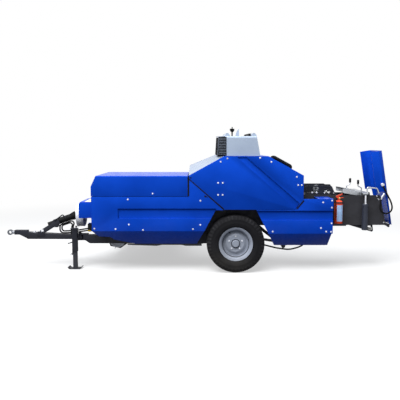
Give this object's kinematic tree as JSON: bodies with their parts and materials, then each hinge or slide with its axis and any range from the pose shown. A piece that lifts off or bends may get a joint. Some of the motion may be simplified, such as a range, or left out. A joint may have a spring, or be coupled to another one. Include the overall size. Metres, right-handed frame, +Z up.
{
  "type": "square baler",
  "caption": "Towed small square baler with a side pick-up reel, a long bale chamber, blue sheet covers, a folded bale chute and a parking jack.",
  "frame": {"origin": "on the ground, at the centre of the machine's footprint", "axes": "+X to the machine's rear, +Y to its right (the pick-up side), +Z up"},
  "size_m": [5.287, 2.46, 1.927],
  "materials": {
    "blue": "gloss enamel",
    "grey": "satin enamel",
    "frame_black": "satin enamel",
    "chamber_grey": "satin enamel",
    "bare_steel": "worn bright",
    "cast": "painted casting",
    "black_plastic": "matt",
    "rim_silver": "silver enamel",
    "tyre": "matt rubber",
    "spring_dark": "satin enamel",
    "safety_red": "gloss enamel"
  },
  "bodies": {
    "chassis": {"axle": "frame_black", "main_beam": "frame_black", "chamber_left_wall": "chamber_grey", "chamber_right_wall": "chamber_grey", "chamber_floor": "chamber_grey", "chamber_roof": "chamber_grey", "front_frame": "frame_black", "gearbox": "cast", "flywheel_cover": "blue", "front_skirt": "blue", "rear_skirt": "blue", "left_tall_panel": "blue", "right_tall_panel": "blue", "front_slope_cover": "grey", "rear_slope_cover": "blue", "top_deck": "blue", "top_cowl": "grey", "cowl_grille": "black_plastic", "intake_cap": "black_plastic", "wheel_arch_liner": "frame_black", "yoke_pivots": "frame_black", "knotter_frame": "frame_black", "rear_deck": "blue", "feeder_table": "chamber_grey", "feeder_cover": "blue", "feeder_end_plate": "blue", "tension_rails": "bare_steel", "lower_tension_rail": "frame_black", "spring_rams": "spring_dark", "tension_cranks": "bare_steel", "fire_extinguisher": "safety_red", "extinguisher_shelf": "frame_black", "front_panel": "blue", "right_shelf": "blue", "slope_hoses": "black_plastic", "needle_guard": "frame_black", "knotters": "bare_steel"},
    "flywheel": {"flywheel": "bare_steel"},
    "drawbar": {"drawbar": "frame_black", "hitch_tongue": "frame_black", "shaft_prop": "frame_black", "drive_shaft": "black_plastic", "jack_tube": "frame_black", "drawbar_hoses": "black_plastic"},
    "hitch_eye": {"hitch_eye": "bare_steel"},
    "jack_leg": {"jack_leg": "frame_black"},
    "left_wheel": {"left_tyre": "tyre", "left_rim": "rim_silver"},
    "right_wheel": {"right_tyre": "tyre", "right_rim": "rim_silver"},
    "hood": {"hood": "blue"},
    "needle_yoke": {"needle_yoke": "frame_black", "needles": "bare_steel"},
    "pickup": {"pickup_frame": "frame_black", "stripper_bands": "bare_steel"},
    "pickup_reel": {"pickup_reel": "bare_steel"},
    "gauge_wheel": {"gauge_wheel": "tyre"},
    "chute": {"chute": "blue", "chute_cord": "black_plastic", "cord_hook": "bare_steel"}
  },
  "joints": [
    {"name": "left_wheel_spin", "type": "hinge", "parent": "chassis", "child": "left_wheel", "pos_m": [0.5, -1.098, 0.385], "axis": [0, 1, 0], "continuous": true},
    {"name": "right_wheel_spin", "type": "hinge", "parent": "chassis", "child": "right_wheel", "pos_m": [0.5, 1.098, 0.385], "axis": [0, 1, 0], "continuous": true},
    {"name": "flywheel_spin", "type": "hinge", "parent": "chassis", "child": "flywheel", "pos_m": [-1.641, -0.648, 0.71], "axis": [1, 0, 0], "continuous": true},
    {"name": "drawbar_swing", "type": "hinge", "parent": "chassis", "child": "drawbar", "pos_m": [-1.63, -0.81, 0.43], "axis": [0, 0, 1], "range_deg": [0, 20]},
    {"name": "eye_swivel", "type": "hinge", "parent": "drawbar", "child": "hitch_eye", "pos_m": [-2.597, -0.81, 0.483], "axis": [1, 0, 0], "continuous": true},
    {"name": "jack_slide", "type": "slide", "parent": "drawbar", "child": "jack_leg", "axis": [0, 0, 1], "range_m": [0, 0.17]},
    {"name": "hood_lift", "type": "hinge", "parent": "chassis", "child": "hood", "pos_m": [-0.765, -0.138, 1.008], "axis": [-1, 0, 0], "range_deg": [0, 75]},
    {"name": "needle_swing", "type": "hinge", "parent": "chassis", "child": "needle_yoke", "pos_m": [1.14, -0.648, 0.76], "axis": [0, -1, 0], "range_deg": [0, 60]},
    {"name": "pickup_lift", "type": "hinge", "parent": "chassis", "child": "pickup", "pos_m": [-0.94, 0.395, 0.462], "axis": [0, 1, 0], "range_deg": [-8, 4]},
    {"name": "reel_spin", "type": "hinge", "parent": "pickup", "child": "pickup_reel", "pos_m": [-1.19, 0.395, 0.312], "axis": [0, 1, 0], "continuous": true},
    {"name": "gauge_spin", "type": "hinge", "parent": "pickup", "child": "gauge_wheel", "pos_m": [-1.06, 1.147, 0.172], "axis": [0, 1, 0], "continuous": true},
    {"name": "chute_fold", "type": "hinge", "parent": "chassis", "child": "chute", "pos_m": [2.62, -0.648, 0.574], "axis": [0, 1, 0], "range_deg": [0, 105]}
  ]
}
